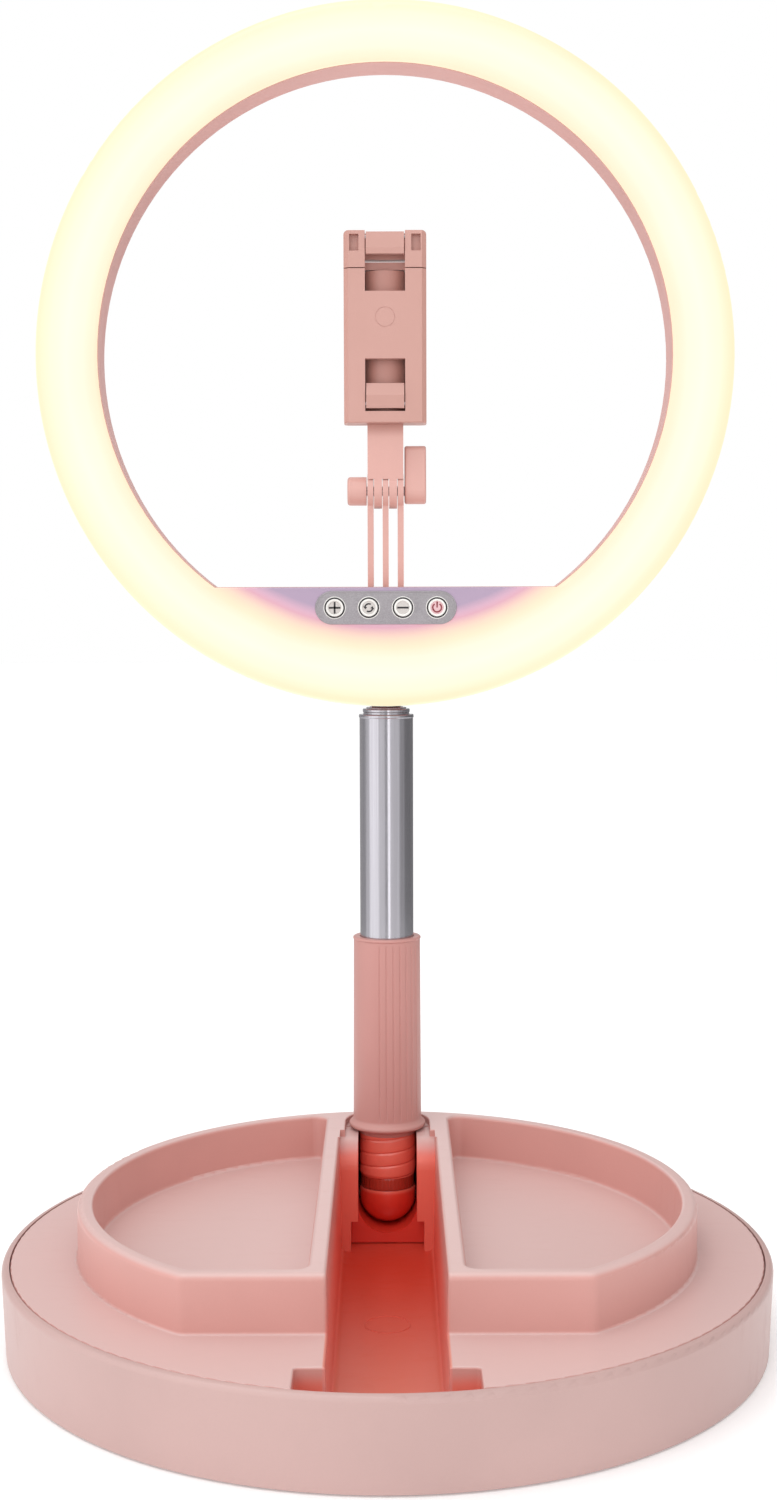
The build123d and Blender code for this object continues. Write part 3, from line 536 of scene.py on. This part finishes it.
def skin(mesh, rows, closed):
    """Faces between rows of points, each row a closed loop. closed joins the last to the first."""
    loops = [[mesh.verts.new(p) for p in row] for row in rows]
    pairs = list(zip(loops, loops[1:]))
    if closed:
        pairs.append((loops[-1], loops[0]))
    for low, high in pairs:
        for a, b, c, d in zip(low, low[1:] + low[:1], high[1:] + high[:1], high):
            mesh.faces.new((a, b, c, d))
    return loops


def cap(mesh, loop, point):
    """Closes a loop with a fan to one point."""
    tip = mesh.verts.new(point)
    for a, b in zip(loop, loop[1:] + loop[:1]):
        mesh.faces.new((a, b, tip))


def turned_up(radius_at, heights, steps):
    """Rows round the pole's axis. radius_at(angle, z) gives the surface."""
    rows = []
    for z in heights:
        row = []
        for n in range(steps):
            angle = 2 * math.pi * n / steps
            r = radius_at(angle, z)
            row.append((POLE_X + r * math.cos(angle), POLE_Y + r * math.sin(angle), z))
        rows.append(row)
    return rows


def circles(points, steps):
    """Rows that are plain circles round the pole's axis, from (radius, z) points."""
    rows = []
    for radius, z in points:
        rows += turned_up(lambda angle, height, r=radius: r, [z], steps)
    return rows


def lathe(mesh, profile, centre, along, steps=64):
    """A closed profile of (radius, distance) turned about a line along Y or Z through centre."""
    rows = []
    for radius, distance in profile:
        row = []
        for n in range(steps):
            angle = 2 * math.pi * n / steps
            u, v = radius * math.cos(angle), radius * math.sin(angle)
            offset = (u, distance, v) if along == "Y" else (u, v, distance)
            row.append(Vector(centre) + Vector(offset))
        rows.append(row)
    skin(mesh, rows, closed=True)


def rounded_profile(inner, outer, low, high, radius, steps=4):
    """A rectangle of (radius, distance) with rounded corners, as a closed run of points."""
    corners = [
        (outer - radius, low + radius, -90),
        (outer - radius, high - radius, 0),
        (inner + radius, high - radius, 90),
        (inner + radius, low + radius, 180),
    ]
    points = []
    for x, y, start in corners:
        for n in range(steps + 1):
            angle = math.radians(start + 90 * n / steps)
            points.append((x + radius * math.cos(angle), y + radius * math.sin(angle)))
    return points


def plate(mesh, outline, front, back):
    """An outline of (x, z) points made solid between two places on Y."""
    first = [mesh.verts.new((x, front, z)) for x, z in outline]
    second = [mesh.verts.new((x, back, z)) for x, z in outline]
    mesh.faces.new(first)
    mesh.faces.new(reversed(second))
    for a, b, c, d in zip(first, first[1:] + first[:1], second[1:] + second[:1], second):
        mesh.faces.new((a, b, c, d))


def smoothstep(low, high, value):
    """0 to 1 as the value goes from low to high, smoothly and clamped."""
    t = min(1.0, max(0.0, (value - low) / (high - low)))
    return t * t * (3 - 2 * t)


# ---- Pole ----

GROOVE_WIDTH = 0.055  # of the thread's pitch
LAND_CROWN = 0.35  # of the thread's depth
THREAD_RUNOUT = 1.2 * MM
THREAD_ROW = 0.22 * MM


def thread_radius(angle, z):
    """Broad rounded lands with a narrow groove that rises to the right."""
    turn = ((z - THREAD_PITCH * angle / (2 * math.pi)) / THREAD_PITCH) % 1.0
    groove = math.exp(-(((turn - 0.5) / GROOVE_WIDTH) ** 2))
    crown = LAND_CROWN * (2 * min(turn, 1.0 - turn)) ** 2
    depth = THREAD_DEPTH * min(1.0, groove + crown)
    fade = smoothstep(THREAD_LOW, THREAD_LOW + THREAD_RUNOUT, z)
    fade *= smoothstep(THREAD_TOP, THREAD_TOP - THREAD_RUNOUT, z)
    return THREAD_R - depth - 0.4 * MM * (1 - fade)


def band_radius(angle, z):
    """Fine upright ribs round the band, fading out at its two edges."""
    edge = smoothstep(BAND_LOW, BAND_LOW + 0.4 * MM, z)
    edge *= smoothstep(THREAD_LOW, THREAD_LOW - 0.5 * MM, z)
    return BAND_R + 0.25 * MM * edge * abs(math.sin(BAND_RIBS * angle / 2)) ** 0.5


def threaded_foot():
    """Domed knuckle, ribbed band and coarse lock thread on the pole's foot."""
    low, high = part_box("pole_foot")
    dome_r = (high.x - low.x) / 2
    dome_z = low.z + dome_r
    steps, dome_steps = 192, 24
    points = []
    for n in range(1, dome_steps + 1):
        angle = math.radians(90.0 * n / dome_steps)
        points.append((dome_r * math.sin(angle), dome_z - dome_r * math.cos(angle)))
    points += [
        (dome_r, BAND_LOW - 0.5 * MM),
        (dome_r - 0.15 * MM, BAND_LOW - 0.1 * MM),
        (BAND_R, BAND_LOW),
    ]
    rows = circles(points, steps)
    rows += turned_up(band_radius, [BAND_LOW + k * 0.4 * MM for k in range(1, 13)], steps)
    length = THREAD_TOP - THREAD_LOW
    count = int(length / THREAD_ROW)
    heights = [THREAD_LOW + length * k / count for k in range(count + 1)]
    rows += turned_up(thread_radius, heights, steps)
    spigot = [
        (SPIGOT_R, THREAD_TOP + 0.4 * MM),
        (SPIGOT_R, high.z - 0.5 * MM),
        (SPIGOT_R - 0.5 * MM, high.z),
    ]
    rows += circles(spigot, steps)
    mesh = bmesh.new()
    loops = skin(mesh, rows, closed=False)
    cap(mesh, loops[0], (POLE_X, POLE_Y, low.z))
    cap(mesh, loops[-1], (POLE_X, POLE_Y, high.z))
    add_piece("threaded_foot", mesh, "pole", "pink_thread", ["pole_foot"], smooth_angle=60.0)


# Flutes of the sleeve, in a group on its front and another on its back. Angles are in degrees.
FLUTE_START = -13.0
FLUTE_STEP = 12.0
FLUTE_COUNT = 7
FLUTE_DEPTH = 0.28 * MM
FLUTE_WIDTH = 1.1


def flute_depth(angle):
    """How far the sleeve's fluted wall is cut in at an angle, from 0 to 1."""
    from_front = math.degrees(angle) + 90.0
    depth = 0.0
    for half_turn in (0.0, 180.0):
        for k in range(FLUTE_COUNT):
            apart = (from_front - half_turn - FLUTE_START - k * FLUTE_STEP + 180.0) % 360.0 - 180.0
            depth += math.exp(-((apart / FLUTE_WIDTH) ** 2))
    return depth


def fluted_sleeve():
    """The screwed sleeve: a rolled foot flange, a wall with groups of flutes, and a top lip."""
    low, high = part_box("lock_sleeve")
    flange_r, roll_r, lip_r = (high.x - low.x) / 2, 1.2 * MM, 0.7 * MM
    foot_r, top_r = 14.2 * MM, 13.8 * MM
    skirt_r, bore_r, mouth_r = 11.92 * MM, 12.0 * MM, 11.2 * MM
    wall_low, wall_top = low.z + 4.4 * MM, high.z - 2.4 * MM

    def wall(angle, z):
        t = (z - wall_low) / (wall_top - wall_low)
        cut = FLUTE_DEPTH * smoothstep(0.0, 0.02, t) * smoothstep(1.0, 0.985, t)
        return foot_r + (top_r - foot_r) * t - cut * flute_depth(angle)

    below = [
        (skirt_r - 0.25 * MM, low.z - 2.6 * MM),
        (skirt_r, low.z - 2.3 * MM),
        (skirt_r, low.z),
    ]
    for n in range(7):
        angle = math.radians(-90 + 150 * n / 6)
        across = flange_r - roll_r + roll_r * math.cos(angle)
        below.append((across, low.z + roll_r + roll_r * math.sin(angle)))
    for n in range(6):
        t = n / 5
        below.append((foot_r + 0.9 * MM * (1 - t) ** 2, low.z + 2.4 * MM + 1.8 * MM * t))

    above = [(top_r, high.z - 1.8 * MM)]
    for n in range(6):
        angle = math.radians(-60 + 150 * n / 5)
        across = top_r - 0.4 * MM + lip_r * math.cos(angle)
        above.append((across, high.z - lip_r + lip_r * math.sin(angle)))
    above += [
        (mouth_r + 0.1 * MM, high.z),
        (mouth_r, high.z - 0.3 * MM),
        (mouth_r, high.z - 5 * MM),
        (bore_r, high.z - 7 * MM),
        (bore_r, low.z + 1 * MM),
        (skirt_r - 0.1 * MM, low.z - 0.2 * MM),
        (skirt_r - 0.3 * MM, low.z - 2.3 * MM),
    ]

    steps = 720
    shares = [0.0, 0.01, 0.02, 0.2, 0.4, 0.6, 0.8, 0.985, 0.993, 1.0]
    heights = [wall_low + t * (wall_top - wall_low) for t in shares]
    rows = circles(below, steps) + turned_up(wall, heights, steps) + circles(above, steps)
    mesh = bmesh.new()
    skin(mesh, rows, closed=True)
    add_piece("fluted_sleeve", mesh, "sleeve", "pink_grip", ["lock_sleeve"])


def tube_rims():
    """The rolled end of each pole section, round its top edge."""
    bodies = ("pole", "section_2", "section_3", "section_4")
    for n, body in enumerate(bodies, 1):
        low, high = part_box(f"pole_tube_{n}")
        radius = (high.x - low.x) / 2
        inner, outer = radius - 1.5 * MM, radius + 0.25 * MM
        profile = rounded_profile(inner, outer, high.z - 1.5 * MM, high.z + 0.15 * MM, 0.5 * MM)
        mesh = bmesh.new()
        lathe(mesh, profile, (POLE_X, POLE_Y, 0.0), "Z", 96)
        add_piece(f"tube_rim_{n}", mesh, body, "tube_metal")


threaded_foot()
fluted_sleeve()
tube_rims()

# ---- Keypad ----

BUTTONS = ("brighter", "mode", "dimmer", "power")
CAP_DEPTH = 1.5 * MM
FACE_R = 2.75 * MM
FACE_SINK = 0.35 * MM
FACE_CROWN = 0.12 * MM
GAP_WIDTH = 0.62 * MM
BEAD_RISE = 0.12 * MM
INK_DEPTH = 0.04 * MM
STROKE = 0.72 * MM
THIN_STROKE = STROKE * 0.8
SIGN_LENGTH = 4.6 * MM
ARROW_R, ARROW_REACH = 1.55 * MM, 105.0
ARROW_HEAD, ARROW_HEAD_REACH = 0.85 * MM, 38
POWER_R = 1.75 * MM


def arc_band(radius, width, start, end, steps=20):
    """The outline of a curved stroke about (0, 0), between two angles in degrees."""
    angles = [math.radians(start + (end - start) * n / steps) for n in range(steps + 1)]
    far, near = radius + width / 2, radius - width / 2
    outer = [(far * math.cos(a), far * math.sin(a)) for a in angles]
    inner = [(near * math.cos(a), near * math.sin(a)) for a in angles]
    return outer + inner[::-1]


def bar(width, height, z=0.0):
    """The outline of a straight stroke."""
    x, h = width / 2, height / 2
    return [(-x, z - h), (x, z - h), (x, z + h), (-x, z + h)]


def curved_arrow(start):
    """A curved stroke that ends in an arrowhead. start is in degrees."""
    stroke = arc_band(ARROW_R, THIN_STROKE, start, start + ARROW_REACH)
    tip = math.radians(start + ARROW_REACH + ARROW_HEAD_REACH)
    base = math.radians(start + ARROW_REACH)
    far, near = ARROW_R + ARROW_HEAD, ARROW_R - ARROW_HEAD
    head = [
        (far * math.cos(base), far * math.sin(base)),
        (ARROW_R * math.cos(tip), ARROW_R * math.sin(tip)),
        (near * math.cos(base), near * math.sin(base)),
    ]
    return [stroke, head]


SYMBOLS = {
    "brighter": [bar(SIGN_LENGTH, STROKE), bar(STROKE, SIGN_LENGTH)],
    "mode": curved_arrow(60.0) + curved_arrow(240.0),
    "dimmer": [bar(SIGN_LENGTH, STROKE)],
    "power": [
        arc_band(POWER_R, THIN_STROKE, 125.0, 415.0),
        bar(THIN_STROKE, 2.4 * MM, 1.2 * MM),
    ],
}


def push_button(name):
    """One button: a white cap, a face and a printed symbol, in a gap painted dark as shadow, with
    a pale bezel.
    """
    low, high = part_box(f"{name}_button")
    x, z = (low.x + high.x) / 2, (low.z + high.z) / 2
    centre = (x, 0.0, z)
    radius = (high.x - low.x) / 2
    front, back = low.y, low.y + CAP_DEPTH
    face_paint, symbol_ink = (PINK_DISC, RED_INK) if name == "power" else (PALE_DISC, DARK_INK_AND_GAP_SHADOW)

    cap_mesh = bmesh.new()
    profile = rounded_profile(FACE_R - 0.1 * MM, radius - 0.35 * MM, front, back, 0.25 * MM)
    lathe(cap_mesh, profile, centre, "Y", 72)
    stem = rounded_profile(0.05 * MM, 1.4 * MM, back - 0.2 * MM, high.y, 0.04 * MM, 2)
    lathe(cap_mesh, stem, centre, "Y", 32)
    add_piece(f"{name}_cap", cap_mesh, name, "button_white", [f"{name}_button"])

    face_y = front + FACE_SINK
    crown = [
        (0.02 * MM, face_y - FACE_CROWN),
        (1.3 * MM, face_y - 0.09 * MM),
        (FACE_R, face_y),
        (FACE_R, back),
        (0.02 * MM, back),
    ]
    face_mesh = bmesh.new()
    lathe(face_mesh, crown, centre, "Y", 72)
    add_piece(f"{name}_face", face_mesh, name, "button_white", material=face_paint)

    ink_mesh = bmesh.new()
    for outline in SYMBOLS[name]:
        moved = [(x + u, z + v) for u, v in outline]
        plate(ink_mesh, moved, face_y - FACE_CROWN - INK_DEPTH, face_y)
    add_piece(f"{name}_symbol", ink_mesh, name, "button_white", material=symbol_ink)

    gap_r = radius - 0.38 * MM
    gap = rounded_profile(gap_r, gap_r + GAP_WIDTH, front + 0.15 * MM, back, 0.05 * MM, 2)
    gap_mesh = bmesh.new()
    lathe(gap_mesh, gap, centre, "Y", 72)
    # Painted shadow: a dark ring in the ink's material fills the gap round the cap.
    add_piece(f"{name}_shadow_gap", gap_mesh, "ring", "keypad", material=DARK_INK_AND_GAP_SHADOW)

    bezel_low, bezel_high = PILL_LOW.y - BEAD_RISE, PILL_LOW.y + 0.5 * MM
    inner, outer = radius + 0.2 * MM, radius + 0.6 * MM
    bezel = rounded_profile(inner, outer, bezel_low, bezel_high, 0.1 * MM, 3)
    bezel_mesh = bmesh.new()
    lathe(bezel_mesh, bezel, centre, "Y", 72)
    add_piece(f"{name}_bezel", bezel_mesh, "ring", "button_white")


def pill_outline(grow, steps=24):
    """The keypad's outline of (x, z), grown by a distance."""
    x = (PILL_LOW.x + PILL_HIGH.x) / 2
    z = (PILL_LOW.z + PILL_HIGH.z) / 2
    radius = (PILL_HIGH.z - PILL_LOW.z) / 2
    reach = (PILL_HIGH.x - PILL_LOW.x) / 2 - radius
    points = []
    for side, start in ((1, -90), (-1, 90)):
        for n in range(steps + 1):
            angle = math.radians(start + 180 * n / steps)
            across = x + side * reach + (radius + grow) * math.cos(angle)
            points.append((across, z + (radius + grow) * math.sin(angle)))
    return points


def keypad_edge():
    """Fine raised bead round the keypad."""
    low, high = PILL_LOW.y - BEAD_RISE, PILL_LOW.y + 0.6 * MM
    profile = rounded_profile(-0.55 * MM, 0.12 * MM, low, high, 0.1 * MM, 3)
    rows = []
    for grow, y in profile:
        rows.append([(x, y, z) for x, z in pill_outline(grow)])
    mesh = bmesh.new()
    skin(mesh, rows, closed=True)
    add_piece("keypad_bead", mesh, "ring", "keypad")


for button_name in BUTTONS:
    push_button(button_name)
keypad_edge()

# ---- Studio ----

FLOOR_HALF = 14.0


def floor():
    """Wide, flat, pale floor."""
    mesh = bmesh.new()
    rows = []
    for y in (-FLOOR_HALF, 0.0, FLOOR_HALF):
        rows.append([mesh.verts.new((x, y, 0.0)) for x in (-FLOOR_HALF, FLOOR_HALF)])
    for low, high in zip(rows, rows[1:]):
        mesh.faces.new((low[0], low[1], high[1], high[0]))
    piece = finish_mesh("studio_floor", mesh)
    dress(piece, stage_white())


# Brightness of the studio as the metal reflects it, in degrees round the pole from the front,
# positive to the right: a broad left softbox, a slim right one, and dark flags at the sides.
# Each row is (start, end, brightness).
STUDIO_CARDS = [
    (-172, -100, 0.4),
    (-100, -78, 0.75),
    (-78, -34, 1.45),
    (-34, -6, 0.9),
    (-6, 6, 0.35),
    (6, 15, 2.2),
    (15, 58, 0.8),
    (58, 84, 0.4),
    (84, 172, 0.2),
]
CARD_DISTANCE = 0.62
CARD_LOW, CARD_HIGH = 0.004, 1.6
CARD_STEPS = 8


def card_material(name, brightness):
    """Dark cloth that glows evenly."""
    m = Shader(name)
    cloth = m.noise(20.0)
    m.set(Base_Color=m.mix(cloth, (0.02, 0.02, 0.02), (0.03, 0.03, 0.03)))
    m.set(Emission_Color=(1.0, 0.99, 1.0), Emission_Strength=brightness)
    return m.material


def studio_cards():
    """Curved cards round the pole that only reflections see."""
    for number, (start, end, brightness) in enumerate(STUDIO_CARDS, 1):
        mesh = bmesh.new()
        columns = []
        for n in range(CARD_STEPS + 1):
            angle = math.radians(start + (end - start) * n / CARD_STEPS)
            x = POLE_X + CARD_DISTANCE * math.sin(angle)
            y = POLE_Y - CARD_DISTANCE * math.cos(angle)
            columns.append([mesh.verts.new((x, y, z)) for z in (CARD_LOW, CARD_HIGH)])
        for (a, b), (c, d) in zip(columns, columns[1:]):
            mesh.faces.new((a, c, d, b))
        name = f"studio_card_{number}"
        card = finish_mesh(name, mesh)
        dress(card, card_material(name, brightness))
        card.visible_camera = False
        card.visible_diffuse = False
        card.visible_shadow = False
        card.visible_transmission = False


def softbox(name, place, target, size, power):
    """A square area light that faces a point and stays out of the camera's view."""
    light = bpy.data.lights.new(name, "AREA")
    light.shape = "SQUARE"
    light.size = size
    light.energy = power
    lamp = bpy.data.objects.new(name, light)
    lamp.location = place
    lamp.rotation_euler = (Vector(target) - Vector(place)).to_track_quat("-Z", "Y").to_euler()
    lamp.visible_camera = False
    bpy.context.scene.collection.objects.link(lamp)


def studio_world():
    """A nearly white surrounding, dimmer far to the right."""
    world = bpy.data.worlds.new("studio")
    world.use_nodes = True
    nodes, links = world.node_tree.nodes, world.node_tree.links
    direction = nodes.new("ShaderNodeTexCoord")
    split = nodes.new("ShaderNodeSeparateXYZ")
    fall = nodes.new("ShaderNodeMapRange")
    fall.interpolation_type = "SMOOTHSTEP"
    for name, number in zip(MAP_RANGE_INPUTS, (0.3, 1.0, 1.0, 0.55)):
        fall.inputs[name].default_value = number
    links.new(direction.outputs["Generated"], split.inputs[0])
    links.new(split.outputs["X"], fall.inputs["Value"])
    background = nodes["Background"]
    background.inputs["Color"].default_value = (1.0, 1.0, 1.0, 1.0)
    links.new(fall.outputs["Result"], background.inputs["Strength"])
    bpy.context.scene.world = world


CAMERA_PLACE = (0.0009, -0.6745, 0.2572)
CAMERA_PITCH = 3.72  # degrees down
CAMERA_ROLL = -0.16  # degrees
CAMERA_LENS = 44.61  # millimetres, on a frame 36 mm across its longer side


def camera():
    """The view: low, from the front, looking slightly down."""
    data = bpy.data.cameras.new("camera")
    data.lens = CAMERA_LENS
    data.sensor_width = 36.0
    data.clip_start = 0.01
    view = bpy.data.objects.new("camera", data)
    tilt = Matrix.Rotation(math.radians(90 - CAMERA_PITCH), 4, "X")
    roll = Matrix.Rotation(math.radians(CAMERA_ROLL), 4, "Z")
    view.matrix_world = Matrix.Translation(CAMERA_PLACE) @ tilt @ roll
    bpy.context.scene.collection.objects.link(view)
    bpy.context.scene.camera = view


floor()
studio_cards()
studio_world()
softbox("top_softbox", (-0.3, -0.5, 1.9), target=(0.0, 0.0, 0.05), size=1.2, power=8.0)
softbox("front_softbox", (-0.5, -1.7, 0.9), target=(0.0, 0.0, 0.15), size=0.9, power=4.0)
camera()
bpy.context.scene.view_settings.view_transform = "Standard"
